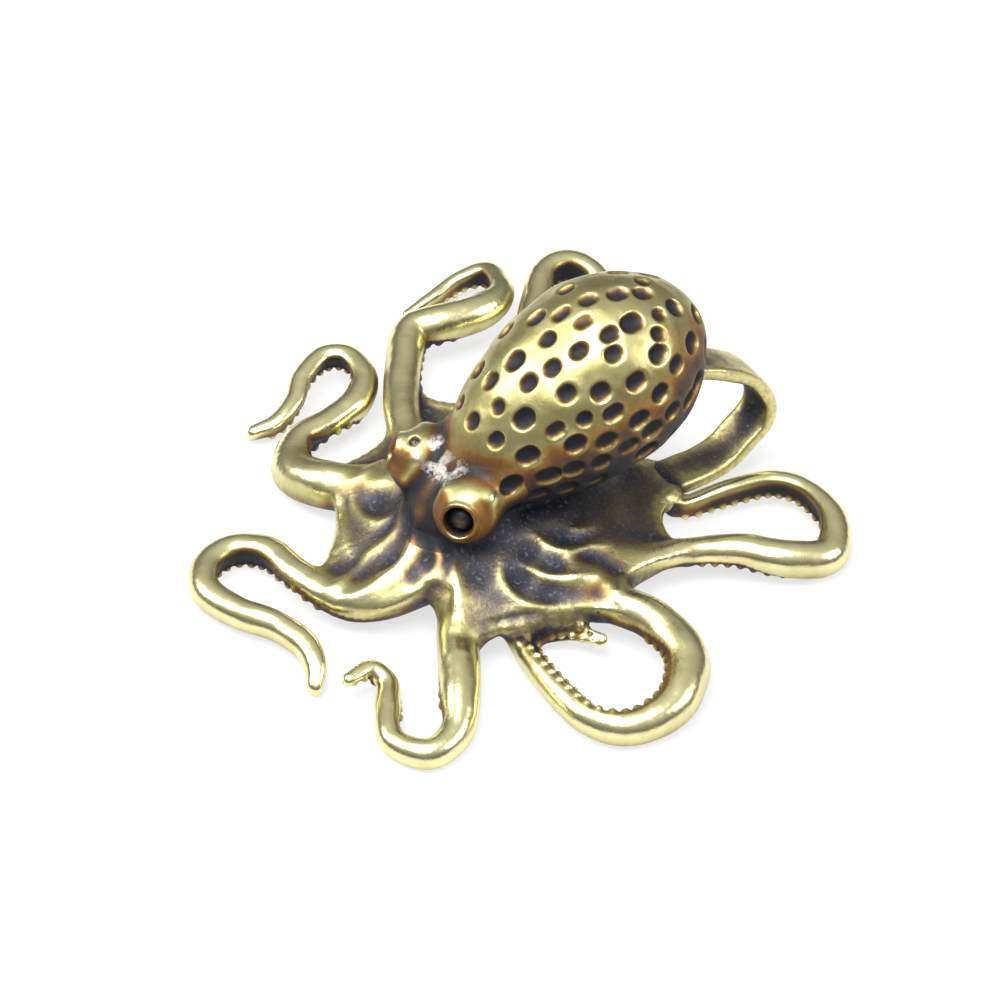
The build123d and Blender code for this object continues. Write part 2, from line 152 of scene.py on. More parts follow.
# Sizes of the arms, and their routes: the same shares as the solids have
arm_reach = 25.0
arm_thickness = 3.2
foot_flat_depth = 0.15
root_ends = (8.0, 13.0)   # from the web's middle, where an arm's root begins to leave the web
root_sink = 0.65          # how far the root lies below the solid's
arm_route_shares = {
    "arm_front_right": [
        (0.05, -0.29, 0.44, 0.56), (0.05, -0.38, 0.44, 0.88), (0.06, -0.53, 0.20, 0.88),
        (0.00, -0.62, 0.11, 0.81), (-0.15, -0.67, 0.07, 0.78), (-0.28, -0.69, 0.04, 0.75),
        (-0.35, -0.75, -0.01, 0.75), (-0.34, -0.84, -0.01, 0.75), (-0.25, -0.90, 0.00, 0.72),
        (-0.13, -0.87, 0.02, 0.69), (-0.03, -0.81, 0.04, 0.66), (0.07, -0.78, 0.04, 0.62),
        (0.15, -0.79, 0.02, 0.56), (0.20, -0.82, -0.01, 0.44),
    ],
    "arm_front_left": [
        (0.12, -0.22, 0.44, 0.56), (0.16, -0.29, 0.44, 0.84), (0.21, -0.36, 0.30, 0.91),
        (0.29, -0.43, 0.11, 0.91), (0.45, -0.52, 0.04, 0.88), (0.56, -0.60, -0.01, 0.75),
        (0.59, -0.70, -0.01, 0.66), (0.50, -0.76, 0.00, 0.59), (0.39, -0.71, 0.04, 0.56),
        (0.32, -0.67, 0.09, 0.50), (0.27, -0.69, 0.20, 0.44), (0.28, -0.76, 0.26, 0.34),
    ],
    "arm_left_front": [
        (0.20, -0.13, 0.44, 0.50), (0.29, -0.08, 0.43, 0.81), (0.42, -0.01, 0.23, 0.84),
        (0.53, 0.05, 0.09, 0.94), (0.68, 0.05, 0.02, 1.00), (0.79, -0.06, -0.01, 0.94),
        (0.80, -0.19, -0.01, 0.81), (0.73, -0.27, 0.00, 0.75), (0.61, -0.29, 0.02, 0.69),
        (0.48, -0.29, 0.04, 0.62), (0.38, -0.27, 0.07, 0.56), (0.36, -0.21, 0.15, 0.47),
        (0.41, -0.15, 0.20, 0.38), (0.49, -0.10, 0.20, 0.31),
    ],
    "arm_left_rear": [
        (0.19, 0.01, 0.44, 0.50), (0.28, 0.05, 0.37, 0.69), (0.32, 0.14, 0.30, 0.62),
        (0.35, 0.28, 0.20, 0.62), (0.41, 0.40, 0.13, 0.75), (0.50, 0.51, 0.05, 0.81),
        (0.53, 0.62, -0.01, 0.81), (0.43, 0.70, 0.04, 0.72), (0.30, 0.70, 0.09, 0.62),
        (0.22, 0.64, 0.11, 0.59), (0.19, 0.52, 0.11, 0.59), (0.17, 0.42, 0.07, 0.53),
        (0.15, 0.37, 0.07, 0.44),
    ],
    "arm_right_front": [
        (-0.15, -0.25, 0.44, 0.56), (-0.22, -0.29, 0.44, 0.94), (-0.32, -0.35, 0.23, 1.00),
        (-0.41, -0.43, 0.09, 1.06), (-0.53, -0.46, -0.01, 1.00), (-0.62, -0.39, 0.04, 0.81),
        (-0.64, -0.28, 0.09, 0.72), (-0.67, -0.18, 0.13, 0.69), (-0.74, -0.11, 0.15, 0.66),
        (-0.84, -0.10, 0.17, 0.62), (-0.88, -0.16, 0.17, 0.59), (-0.84, -0.25, 0.15, 0.56),
        (-0.78, -0.31, 0.11, 0.53), (-0.74, -0.39, 0.05, 0.50), (-0.75, -0.46, 0.02, 0.41),
    ],
    "arm_right_rear": [
        (-0.22, -0.11, 0.44, 0.50), (-0.31, -0.12, 0.44, 0.81), (-0.43, -0.14, 0.28, 0.75),
        (-0.58, -0.08, 0.18, 0.81), (-0.73, 0.02, 0.17, 0.84), (-0.82, 0.10, 0.18, 0.88),
        (-0.80, 0.20, 0.23, 0.88), (-0.79, 0.32, 0.24, 0.81), (-0.84, 0.41, 0.23, 0.66),
        (-0.95, 0.44, 0.15, 0.59), (-0.99, 0.37, 0.07, 0.50), (-0.98, 0.27, 0.00, 0.44),
        (-0.97, 0.18, -0.01, 0.34),
    ],
    "arm_rear_right": [
        (-0.18, 0.02, 0.44, 0.50), (-0.31, 0.12, 0.37, 0.81), (-0.48, 0.25, 0.23, 0.84),
        (-0.62, 0.37, 0.23, 0.78), (-0.75, 0.48, 0.24, 0.72), (-0.83, 0.56, 0.24, 0.72),
        (-0.84, 0.64, 0.23, 0.72), (-0.78, 0.69, 0.15, 0.69), (-0.69, 0.67, 0.05, 0.62),
        (-0.63, 0.60, -0.01, 0.53), (-0.64, 0.53, -0.01, 0.41),
    ],
    "arm_rear_left": [
        (0.02, 0.10, 0.44, 0.50), (-0.02, 0.20, 0.37, 0.69), (-0.13, 0.33, 0.17, 0.78),
        (-0.26, 0.45, 0.05, 0.84), (-0.38, 0.56, -0.01, 0.81), (-0.45, 0.66, -0.01, 0.72),
        (-0.40, 0.73, 0.00, 0.62), (-0.32, 0.69, 0.04, 0.56), (-0.29, 0.62, 0.02, 0.44),
    ],
}

# Where the suckers of an arm look: share of the way along, and degrees from straight down
# towards the arm's own right, seen from root to tip
sucker_turns = {
    "arm_front_right": [(0.0, 0), (0.2, 0), (0.4, -70), (1.0, -75)],
    "arm_front_left": [(0.0, 0), (0.3, 0), (0.5, 60), (0.75, 65), (0.9, -10), (1.0, -50)],
    "arm_left_front": [(0.0, 0), (0.2, 20), (0.4, 75), (0.6, 120), (1.0, 140)],
    "arm_left_rear": [(0.0, 20), (0.35, 10), (0.55, -60), (0.7, -85), (1.0, -85)],
    "arm_right_front": [(0.0, 0), (0.25, 20), (0.4, 75), (0.5, 40), (0.6, -70), (1.0, -60)],
    "arm_right_rear": [(0.0, 20), (0.4, 35), (0.55, 0), (0.65, -80), (1.0, -80)],
    "arm_rear_right": [(0.0, 0), (0.5, 10), (0.65, 80), (1.0, 80)],
    "arm_rear_left": [(0.0, 0), (0.5, 10), (0.65, 80), (1.0, 80)],
}
two_row_arms = ["arm_left_front"]
sucker_flat_share = 0.60  # how far from the arm's middle its sucker side is flat, of the radius
sucker_flat_ends = (0.12, 0.27)   # shares of the way, between which that side turns flat
sucker_start_share = 0.27
sucker_gap = 0.58         # from one sucker to the next, and how that grows with the radius
sucker_gap_growth = 0.34
sucker_row_shift = 0.5    # of the second row along the arm
sucker_size = 0.13        # radius, and how that grows with the arm's
sucker_size_growth = 0.15
sucker_seat_share = 0.56  # of a sucker's middle, towards the sucker side and to its own side
sucker_aside_share = 0.62
sucker_blend = 0.12
sucker_room = 0.3         # round an arm, for its suckers
sucker_faces_ground = -0.6
tip_length = 0.3          # left without suckers
flat_edge = 0.3           # how widely the edges of the flat side are rounded

# Sizes of the head. Where a place has a side, it is given for the left.
head_middle = np.array((0.0, -6.1, 6.1)) + plan_zero
head_radii = np.array((3.3, 3.5, 3.9))
head_foot = 2.0           # above the ground
head_reach = 4.2          # of the field round the head's middle
collar_middle = np.array((0.0, -5.8, 3.6)) + plan_zero
collar_radii = np.array((3.9, 4.2, 1.9))
collar_blend = 1.2
brow_width = 4.4
brow_spacing = 6.0
brow_ahead = 7.42         # from the plan's zero
brow_height = 8.49
brow_blend = 0.7
neck_start = (-0.4, 1.0, 0.3)     # from the brow's middle
neck_end = (2.2, -3.0, 9.6)       # on the plan
neck_radii = (1.75, 2.0)
neck_blend = 0.9
ridge_ends = [(-1.0, -0.7, 1.35), (1.0, 1.1, 1.35)]   # from the brow's middle
ridge_radii = (0.55, 0.6)
ridge_blend = 0.5
eye_width = 2.0
eye_turn = 42.0
eye_lift = 20.0
socket_sink = 0.25        # of the rim below the mound's surface
socket_depth = 1.0        # below the rim
socket_slack = 0.02       # by which the socket's floor is narrower than the eye
socket_flare = 0.12       # by which its mouth is wider
socket_edge = 0.25
socket_overrun = 1.5      # of the cut beyond the mouth
lip_radius = 0.05         # of the raised lip round the socket
lip_gap = 0.20            # from the eye's width to the lip
lip_blend = 0.5
pupil_depth = 1.4
pupil_slack = 0.03
dent_edge = 0.15
head_dents = [            # places on the plan, and radii
    ((-2.9, -7.9, 10.62), 0.36), ((-0.3, -9.3, 9.9), 1.05), ((0.9, -8.2, 10.5), 0.45),
    ((-1.2, -8.1, 10.6), 0.45), ((1.7, -9.5, 9.3), 0.35), ((0.1, -7.4, 10.9), 0.4),
]

# Sizes of the mantle, whose outline is three arcs: from its front to the waist, down the
# flank, and round the cap at the rear
mantle_length = 20.5
mantle_width = 13.2
mantle_tilt = 21.5
mantle_front = np.array((0.0, -6.54, 8.28)) + plan_zero
mantle_front_wall = 0.2   # how far the front end is carried on ahead
mantle_waist_share = 0.60
mantle_front_share = 0.26
mantle_cap_share = 0.72

# Pixels of the photograph where pits lie on the mantle
pit_pixels = [
    (536, 317), (561, 313), (588, 299), (547, 338), (583, 321), (610, 334), (632, 322), (618, 293),
    (643, 281), (643, 292), (660, 314), (659, 334), (659, 354), (693, 343), (677, 365), (614, 354),
    (579, 351), (514, 360), (552, 368), (490, 380), (528, 383), (567, 394), (601, 393), (637, 382),
    (661, 394), (498, 407), (524, 419), (556, 431), (585, 420), (614, 414), (640, 421), (673, 412),
    (472, 421), (496, 441), (528, 457), (576, 445), (607, 442), (549, 477), (574, 470), (601, 463),
    (698, 383), (707, 364), (675, 307), (513, 502), (539, 494), (567, 489), (596, 480), (629, 447),
    (653, 431), (691, 399),
]
pit_radius = 0.74
pit_sizes = (0.86, 1.10)  # share of the radius, from the least to the most
pit_lower_extra = 0.14    # more radius on the lower side
pit_lower_ends = (-0.4, 0.5)      # how far a place looks down, where that begins and is full
pit_stretch = 0.22        # the most by which a pit is drawn out along the mantle, to each side
pit_lift = 0.30           # of the middle of a pit's ball above the mantle
pit_lifts = (0.8, 1.3)
pit_edge = 0.13
pit_room = 0.3            # round a pit, for its stretch
pit_probe_start = 1.7     # above a pit's place, where a line towards the skin starts
pit_probe_length = 2.5
pit_spacing = 1.95        # least distance between two pits that the photograph doesn't show
pit_tries = 260           # places of a spiral round the mantle, where such pits may be
pit_start = 2.2           # from the mantle's front
pit_spiral_shares = (0.10, 1.0)   # of the mantle's length
pit_spiral_radius = 0.5   # round the axis, before the places are drawn out to the surface

# Patch between the eyes and the mantle where the patina is rubbed off to silver
worn_middle = np.array((-0.6, -7.4, 10.5)) + plan_zero
worn_reach = np.array((3.3, 2.0, 1.7))
worn_most = 0.60

# Sizes of the loop, and its line from its seat in the mantle to its foot: how far up it is on
# the straight way from foot to seat, and how far it stands out behind, as a share of its reach
loop_width = 3.2
loop_thickness = 1.0
loop_edge = 0.4
loop_room = 0.3           # round the band
loop_reach = 9.0
loop_foot_shares = (0.05, 0.35)
loop_seat_shares = (0.45, 0.82)   # of the mantle's half width and length
loop_line_shares = [
    (1.0, 0.0), (0.91, 0.17), (0.79, 0.48), (0.62, 0.79), (0.39, 0.97), (0.22, 0.96),
    (0.10, 0.80), (0.00, 0.62), (-0.02, 0.33), (0.0, 0.0),
]
loop_eye = np.array((0.6, 14.6, 6.0)) + plan_zero

# How widely the forms flow into each other: first those of the core, then those on it
core_blends = {"web": 0.0, "head": 1.2, "mantle": 0.8}
arm_blend = 0.7
root_blend = 1.3          # more for an arm's root on the web
loop_blend = 0.5

# Lumps of the cast surface: their size, and how far they stand out
lump_size = 1.7
lump_height = 0.042
mantle_lump_height = 0.075
small_lump_size = 0.62
small_lump_height = 0.014

# Widths over which it is worked out how deep a place lies in a hollow
hollow_widths = (0.8, 2.4)

# Where the patina and the painted light and shade change, in mm
near_web_ends = (0.9, 0.1)        # distance to the web, from free of it to on it
web_light_ends = (-2.0, -8.0)     # to the left in the photograph, where the web grows lighter
head_shade_ends = (0.9, -0.6)     # above the eyes, from there down the head grows darker
eye_shade_ends = (3.4, 2.2)       # distance to an eye, from the head's tone to the mound's brown
loop_mottle_size = 1.3
worn_break_size = 0.8

# Lamps: degrees round from the front and up, distance and size in m, and power in W
lamps = {
    "top": (20, 75, 0.5, 0.35, 3.2),
    "left": (-40, 40, 0.6, 0.25, 2.0),
    "right": (140, 35, 0.6, 0.25, 1.4),
}


# Places and directions

def plan(x, y, z=0.0):
    """Place in the frame, from one that counts from the plan's zero."""
    return np.array((x, y, z)) + plan_zero


def on_side(side, place):
    """A place given for the left, on that side for 1 and on the right for -1."""
    return np.array(place) * (side, 1, 1)


def direction(turn, rise):
    """Direction turned by degrees from the front to the left, and raised by degrees."""
    turn, rise = math.radians(turn), math.radians(rise)
    level = math.cos(rise)
    return np.array((math.sin(turn) * level, -math.cos(turn) * level, math.sin(rise)))


def from_web_middle(x, y):
    """Distance on the plan from the web's middle."""
    return np.hypot(x - web_middle[0], y - web_middle[1])


view_back = direction(view_turn, view_rise)
view_right = direction(view_turn + 90, 0)
view_up = np.cross(view_back, view_right)
eye_point = view_target + view_back * view_distance


def rays_through(pixels):
    """Directions in which the camera sees pixels of the photograph."""
    offsets = (np.atleast_2d(pixels) - image_side / 2) / (pixels_to_mm * view_distance)
    rays = offsets[:, :1] * view_right - offsets[:, 1:] * view_up - view_back
    return rays / np.linalg.norm(rays, axis=1)[:, None]


# Noise

random = np.random.default_rng(11)
lattice_side = 32
lattice = random.uniform(-1, 1, (lattice_side,) * 3)


def noise(points, size):
    """Smooth noise between -1 and 1 at points, with lumps of a size in mm."""
    place = points / size
    corner = np.floor(place).astype(int)
    part = place - corner
    part = part * part * (3 - 2 * part)
    total = np.zeros(len(points))
    for offset in np.ndindex(2, 2, 2):
        weight = np.prod(np.where(offset, part, 1 - part), axis=1)
        total += weight * lattice[tuple(((corner + offset) % lattice_side).T)]
    return total


# Fields of distances

grid_low = np.array(cad_box[0]) / mm - 1.0
grid_high = np.array(cad_box[1]) / mm + 1.0
grid_shape = np.ceil((grid_high - grid_low) / pitch).astype(int) + 1


def axis_places(axis, start, stop):
    """Coordinates of a stretch of the grid's points along one of its axes."""
    return grid_low[axis] + pitch * np.arange(start, stop)


def smooth_min(one, other, blend):
    """The lesser of two distances, rounded where they are nearly alike."""
    if np.isscalar(blend) and not blend:
        return np.minimum(one, other)
    share = np.clip(0.5 + 0.5 * (other - one) / blend, 0, 1)
    return other + (one - other) * share - blend * share * (1 - share)


def smooth_step(low, high, value):
    """0 below one value, 1 above the other, smooth between."""
    share = np.clip((value - low) / (high - low), 0, 1)
    return share * share * (3 - 2 * share)


class Field:
    """Distances to a surface, on the stretch of the grid between two corners."""

    def __init__(self, low, high):
        self.start = self.grid_place(low, np.floor)
        self.stop = self.grid_place(high, np.ceil) + 1
        self.values = np.full(self.stop - self.start, far, np.float32)

    @staticmethod
    def grid_place(point, rounded):
        """Number of the grid point next to a place, rounded down or up."""
        place = rounded((np.asarray(point, float) - grid_low) / pitch).astype(int)
        return np.clip(place, 0, grid_shape - 1)

    def window(self, low, high):
        """Slices of the values between two corners, and the coordinates there."""
        start = np.maximum(self.grid_place(low, np.floor), self.start)
        stop = np.minimum(self.grid_place(high, np.ceil) + 1, self.stop)
        stop = np.maximum(stop, start)
        slices = tuple(slice(a - c, b - c) for a, b, c in zip(start, stop, self.start))
        axes = [axis_places(k, start[k], stop[k]).astype(np.float32) for k in range(3)]
        return slices, np.meshgrid(*axes, indexing="ij", sparse=True)

    def join(self, low, high, shape, blend=0.0):
        """Adds a shape, a function of x, y and z, between two corners."""
        slices, place = self.window(low, high)
        self.values[slices] = smooth_min(self.values[slices], shape(*place), blend)

    def carve(self, low, high, shape, blend=0.0):
        """Takes a shape away between two corners."""
        slices, place = self.window(low, high)
        self.values[slices] = -smooth_min(-self.values[slices], shape(*place), blend)

    @property
    def on_grid(self):
        """Slices of the whole grid that this field covers."""
        return tuple(slice(start, stop) for start, stop in zip(self.start, self.stop))


def corners_of(points, radii):
    """Corners of the box round balls, with room for their distances."""
    points, radii = np.atleast_2d(points), np.atleast_1d(radii)[:, None]
    return (points - radii).min(0) - reach_out, (points + radii).max(0) + reach_out


def ball(middle, radius):
    """Distance to a ball."""
    return lambda x, y, z: np.sqrt(
        (x - middle[0]) ** 2 + (y - middle[1]) ** 2 + (z - middle[2]) ** 2
    ) - radius


def egg_shape(middle, radii):
    """Distance to an upright egg with three half widths, nearly."""
    def shape(x, y, z):
        unit = [(v - m) / r for v, m, r in zip((x, y, z), middle, radii)]
        size = np.sqrt(sum(v ** 2 for v in unit))
        slope = np.sqrt(sum((v / r) ** 2 for v, r in zip(unit, radii)))
        return size * (size - 1) / np.maximum(slope, 1e-6)
    return shape


def rod(one, other, radius, other_radius, flat_side=None, flat_share=1.0):
    """Distance to a tapering rod, cut flat on one side where a direction is given."""
    way = other - one
    length = max(float(way @ way), 1e-9)

    def shape(x, y, z):
        dx, dy, dz = x - one[0], y - one[1], z - one[2]
        share = np.clip((dx * way[0] + dy * way[1] + dz * way[2]) / length, 0, 1)
        dx, dy, dz = dx - share * way[0], dy - share * way[1], dz - share * way[2]
        wide = radius + (other_radius - radius) * share
        distance = np.sqrt(dx ** 2 + dy ** 2 + dz ** 2) - wide
        if flat_side is None:
            return distance
        height = dx * flat_side[0] + dy * flat_side[1] + dz * flat_side[2] - wide * flat_share
        return -smooth_min(-distance, -height, flat_edge)
    return shape


def smooth_line(rows, steps):
    """Rows of numbers on a smooth line through the given rows."""
    rows = np.asarray(rows, float)
    padded = np.vstack([2 * rows[0] - rows[1], rows, 2 * rows[-1] - rows[-2]])
    line = []
    for before, here, after, beyond in zip(padded, padded[1:], padded[2:], padded[3:]):
        for step in range(steps):
            t = step / steps
            line.append(0.5 * (
                2 * here + (after - before) * t
                + (2 * before - 5 * here + 4 * after - beyond) * t ** 2
                + (3 * here - before - 3 * after + beyond) * t ** 3
            ))
    line.append(rows[-1])
    return np.array(line)


def read_off(table, share):
    """Values at shares, on the straight runs between the pairs of a table."""
    return np.interp(share, [pair[0] for pair in table], [pair[1] for pair in table])


# The web

def web_top(x, y):
    """Height of the web's upper side at a place on the plan, on a smooth slope."""
    shares = np.linspace(0, 1, 61)
    falls = read_off(web_slope_shares, shares)
    for _ in range(6):
        falls[1:-1] = (falls[:-2] + 2 * falls[1:-1] + falls[2:]) / 4
    fall = np.interp(from_web_middle(x, y) / web_spread, shares, falls)
    return web_crown_height - (web_crown_height - web_rim_height) * fall


def web_swell(x, y):
    """How much the web swells up above that slope round the head."""
    near, beyond = swell_ends
    return swell_height * smooth_step(beyond, near, from_web_middle(x, y))


def arc(start, middle, end, steps):
    """Points on the circle through three places on the plan."""
    (ax, ay), (bx, by), (cx, cy) = start, middle, end
    a, b, c = ax**2 + ay**2, bx**2 + by**2, cx**2 + cy**2
    twice_area = 2 * (ax * (by - cy) + bx * (cy - ay) + cx * (ay - by))
    centre_x = (a * (by - cy) + b * (cy - ay) + c * (ay - by)) / twice_area
    centre_y = (a * (cx - bx) + b * (ax - cx) + c * (bx - ax)) / twice_area
    radius = math.hypot(ax - centre_x, ay - centre_y)
    first, second, third = [math.atan2(y - centre_y, x - centre_x) for x, y in (start, middle, end)]
    to_middle, to_end = [(angle - first) % math.tau for angle in (second, third)]
    sweep = to_end if to_middle < to_end else to_end - math.tau
    angles = first + sweep * np.linspace(0, 1, steps + 1)
    return np.stack([centre_x + radius * np.cos(angles), centre_y + radius * np.sin(angles)], axis=1)


def web_hollows():
    """The hollows between the arms in the web's outline on the plan, each a row of points."""
    hollows = []
    for index, (arrive, _, _) in enumerate(web_rim_shares):
        leave_before, hollow_before = web_rim_shares[index - 1][1:]
        corners = [
            arm_reach * np.array(pair) + plan_zero[:2] for pair in (leave_before, hollow_before, arrive)
        ]
        hollows.append(arc(*corners, hollow_steps))
    return hollows


def plan_distance(x, y, outline):
    """Distance on the plan to an outline, less than nothing within it."""
    nearest = np.full(np.broadcast(x, y).shape, far ** 2, np.float32)
    inside = np.zeros(nearest.shape, bool)
    for (ax, ay), (bx, by) in zip(outline, np.roll(outline, -1, axis=0)):
        wx, wy = bx - ax, by - ay
        share = np.clip(((x - ax) * wx + (y - ay) * wy) / (wx * wx + wy * wy), 0, 1)
        nearest = np.minimum(nearest, (x - ax - share * wx) ** 2 + (y - ay - share * wy) ** 2)
        if ay != by:
            inside ^= ((ay > y) != (by > y)) & (x < (bx - ax) * (y - ay) / (by - ay) + ax)
    return np.sqrt(nearest) * np.where(inside, -1, 1)


def make_web():
    """The skirt between the arms, with rolled rims."""
    hollows = web_hollows()
    outline = np.vstack(hollows)
    low = np.append(outline.min(0) - rim_radius, -rim_radius) - reach_out
    high = np.append(outline.max(0), web_crown_height + web_headroom) + reach_out
    web = Field(low, high)

    def sheet(x, y, z):
        top = web_top(x, y)
        swell = web_swell(x, y)
        off_middle = np.abs(z - top + (web_wall - swell) / 2)
        across = (off_middle - (web_wall + swell) / 2) * web_steepness
        along = plan_distance(x[:, :, :1], y[:, :, :1], outline)
        return -smooth_min(-across, -along, web_edge)

    web.join(low, high, sheet)
    for hollow in hollows:
        rim = np.column_stack([hollow, web_top(*hollow.T) - rim_drop])
        for ends in zip(rim, rim[1:]):
            web.join(*corners_of(ends, [rim_radius] * 2), rod(*ends, rim_radius, rim_radius), rim_blend)
    return web


# The arms

def root_share(x, y):
    """1 where an arm's root lies on the web, and 0 where the arm has left it."""
    near, beyond = root_ends
    return smooth_step(beyond, near, from_web_middle(x, y))


def arm_course(name):
    """Middle points, radii, way from the root, sucker and forward directions along an arm."""
    rows = []
    for x_share, y_share, height_share, thickness_share in arm_route_shares[name]:
        radius = arm_thickness * thickness_share / 2
        underside = -foot_flat_depth if height_share < 0 else web_crown_height * height_share
        rows.append((*plan(arm_reach * x_share, arm_reach * y_share, underside + radius), radius))
    line = smooth_line(rows, line_steps)
    points, radii = line[:, :3], line[:, 3]
    points[:, 2] -= root_sink * root_share(*points[:, :2].T)
    ahead = np.gradient(points, axis=0)
    ahead /= np.linalg.norm(ahead, axis=1)[:, None]
    down = np.array((0, 0, -1.0)) + ahead * ahead[:, 2:]
    down /= np.linalg.norm(down, axis=1)[:, None]
    right = np.cross(ahead, -down)
    way = np.append(0, np.cumsum(np.linalg.norm(np.diff(points, axis=0), axis=1)))
    turns = np.radians(read_off(sucker_turns[name], way / way[-1]))[:, None]
    return points, radii, way, np.cos(turns) * down + np.sin(turns) * right, ahead


def add_suckers(arm, name, course):
    """Suckers in two rows. Where they look sideways, most arms have the lower row only."""
    points, radii, way, sucker_way, ahead = course
    for row in (0, 1):
        place = way[-1] * sucker_start_share + sucker_row_shift * row
        while place < way[-1] - tip_length:
            middle, facing, forward = [
                np.array([np.interp(place, way, column) for column in values.T])
                for values in (points, sucker_way, ahead)
            ]
            radius = np.interp(place, way, radii)
            aside = np.cross(forward, facing)
            is_lower = (aside[2] > 0) != bool(row)
            size = sucker_size + sucker_size_growth * radius
            spot = middle + facing * radius * sucker_seat_share
            spot = spot + aside * radius * sucker_aside_share * (1 if row else -1)
            if name in two_row_arms or facing[2] < sucker_faces_ground or is_lower:
                arm.join(*corners_of(spot, size), ball(spot, size), sucker_blend)
            place += sucker_gap + sucker_gap_growth * radius


def make_arm(name):
    """A tapering arm, flat on its sucker side, with its suckers."""
    course = arm_course(name)
    points, radii, way, sucker_way, _ = course
    arm = Field(*corners_of(points, radii + sucker_room))
    flats = 1 - (1 - sucker_flat_share) * np.interp(way / way[-1], sucker_flat_ends, (0, 1))
    for i in range(len(points) - 1):
        shape = rod(points[i], points[i + 1], radii[i], radii[i + 1], sucker_way[i], flats[i])
        arm.join(*corners_of(points[i:i + 2], radii[i:i + 2]), shape)
    add_suckers(arm, name, course)
    return arm


# The head

def eye_out(side):
    """Direction in which an eye looks: side is 1 on the left and -1 on the right."""
    return direction(side * eye_turn, eye_lift)


def brow(side):
    """Middle of an eye mound."""
    return plan(side * brow_spacing / 2, -brow_ahead, brow_height)


def ring(middle, axis, ring_radius, tube_radius):
    """Distance to a ring round an axis."""
    def shape(x, y, z):
        dx, dy, dz = x - middle[0], y - middle[1], z - middle[2]
        along = dx * axis[0] + dy * axis[1] + dz * axis[2]
        out = np.sqrt(np.maximum(dx ** 2 + dy ** 2 + dz ** 2 - along ** 2, 0)) - ring_radius
        return np.sqrt(out ** 2 + along ** 2) - tube_radius
    return shape


def add_mound(head, side):
    """An eye mound, the neck behind it and the ridge over it."""
    middle = brow(side)
    head.join(*corners_of(middle, brow_width / 2), ball(middle, brow_width / 2), brow_blend)
    neck = [middle + on_side(side, neck_start), plan(*on_side(side, neck_end))]
    head.join(*corners_of(neck, [max(neck_radii)] * 2), rod(*neck, *neck_radii), neck_blend)
    ridge = [middle + on_side(side, end) for end in ridge_ends]
    head.join(*corners_of(ridge, [max(ridge_radii)] * 2), rod(*ridge, *ridge_radii), ridge_blend)


def add_socket(head, side):
    """An eye socket, with a soft lip round it."""
    out = eye_out(side)
    mouth = brow(side) + out * (brow_width / 2 - socket_sink)
    box = corners_of(mouth, eye_width)
    head.join(*box, ring(mouth, out, eye_width / 2 + lip_gap, lip_radius), lip_blend)
    floor, beyond = mouth - out * socket_depth, mouth + out * socket_overrun
    hole = rod(floor, beyond, eye_width / 2 - socket_slack, eye_width / 2 + socket_flare)
    head.carve(*box, hole, socket_edge)


def make_head():
    """The block between web and mantle, with its eye mounds, sockets and dents."""
    low, high = corners_of([brow(1), brow(-1), head_middle], [brow_width / 2, brow_width / 2, head_reach])
    low[2] = head_foot
    head = Field(low, high)
    head.join(low, high, egg_shape(head_middle, head_radii))
    head.join(low, high, egg_shape(collar_middle, collar_radii), collar_blend)
    for side in (1, -1):
        add_mound(head, side)
    for side in (1, -1):
        add_socket(head, side)
    for place, radius in head_dents:
        spot = plan(*place)
        head.carve(*corners_of(spot, radius), ball(spot, radius), dent_edge)
    return head


def make_pupil(side):
    """The dark ball in an eye socket."""
    middle = brow(side) + eye_out(side) * (brow_width / 2 - pupil_depth)
    pupil = Field(*corners_of(middle, eye_width / 2))
    pupil.join(*corners_of(middle, eye_width / 2), ball(middle, eye_width / 2 - pupil_slack))
    return pupil


# The mantle

mantle_axis = direction(180, mantle_tilt)
mantle_below = direction(180, mantle_tilt - 90)
half_width = mantle_width / 2
waist = mantle_length * mantle_waist_share
cap_radius = half_width * mantle_cap_share
cap_middle = mantle_length - cap_radius
flank_radius = ((cap_middle - waist) ** 2 + (half_width - cap_radius) ** 2) / (
    2 * (half_width - cap_radius)) + cap_radius
front_half = half_width * mantle_front_share
front_radius = ((half_width - front_half) ** 2 + waist ** 2) / (2 * (half_width - front_half))


def mantle_shape(x, y, z):
    """Distance to the egg that the mantle is."""
    dx, dy, dz = x - mantle_front[0], y - mantle_front[1], z - mantle_front[2]
    along = dy * mantle_axis[1] + dz * mantle_axis[2]
    out = np.sqrt(np.maximum(dx ** 2 + dy ** 2 + dz ** 2 - along ** 2, 0))
    front = np.hypot(out - half_width + front_radius, along - waist) - front_radius
    flank = np.hypot(out - half_width + flank_radius, along - waist) - flank_radius
    cap = np.hypot(out, along - cap_middle) - cap_radius
    # The cap takes over where the flank's own arc has come round to the cap's
    beyond = (along - waist) * (flank_radius - half_width) > (
        cap_middle - waist) * (out - half_width + flank_radius)
    body = np.where(along < waist, front, np.where(beyond, cap, flank))
    return np.maximum(body, -along - mantle_front_wall)


def seen_on_mantle(pixels):
    """Places on the mantle that lie behind pixels of the photograph."""
    rays = rays_through(pixels)
    way = np.full(len(rays), view_distance - mantle_sight_start)
    for _ in range(60):
        way += mantle_shape(*(eye_point + rays * way[:, None]).T) * 0.95
    places = eye_point + rays * way[:, None]
    return places[np.abs(mantle_shape(*places.T)) < 0.05]


def mantle_out(places, step=0.05):
    """Outward directions at places on the mantle."""
    rise = np.stack([
        mantle_shape(*(places + offset).T) - mantle_shape(*(places - offset).T)
        for offset in np.eye(3) * step
    ], axis=1)
    return rise / np.linalg.norm(rise, axis=1)[:, None]


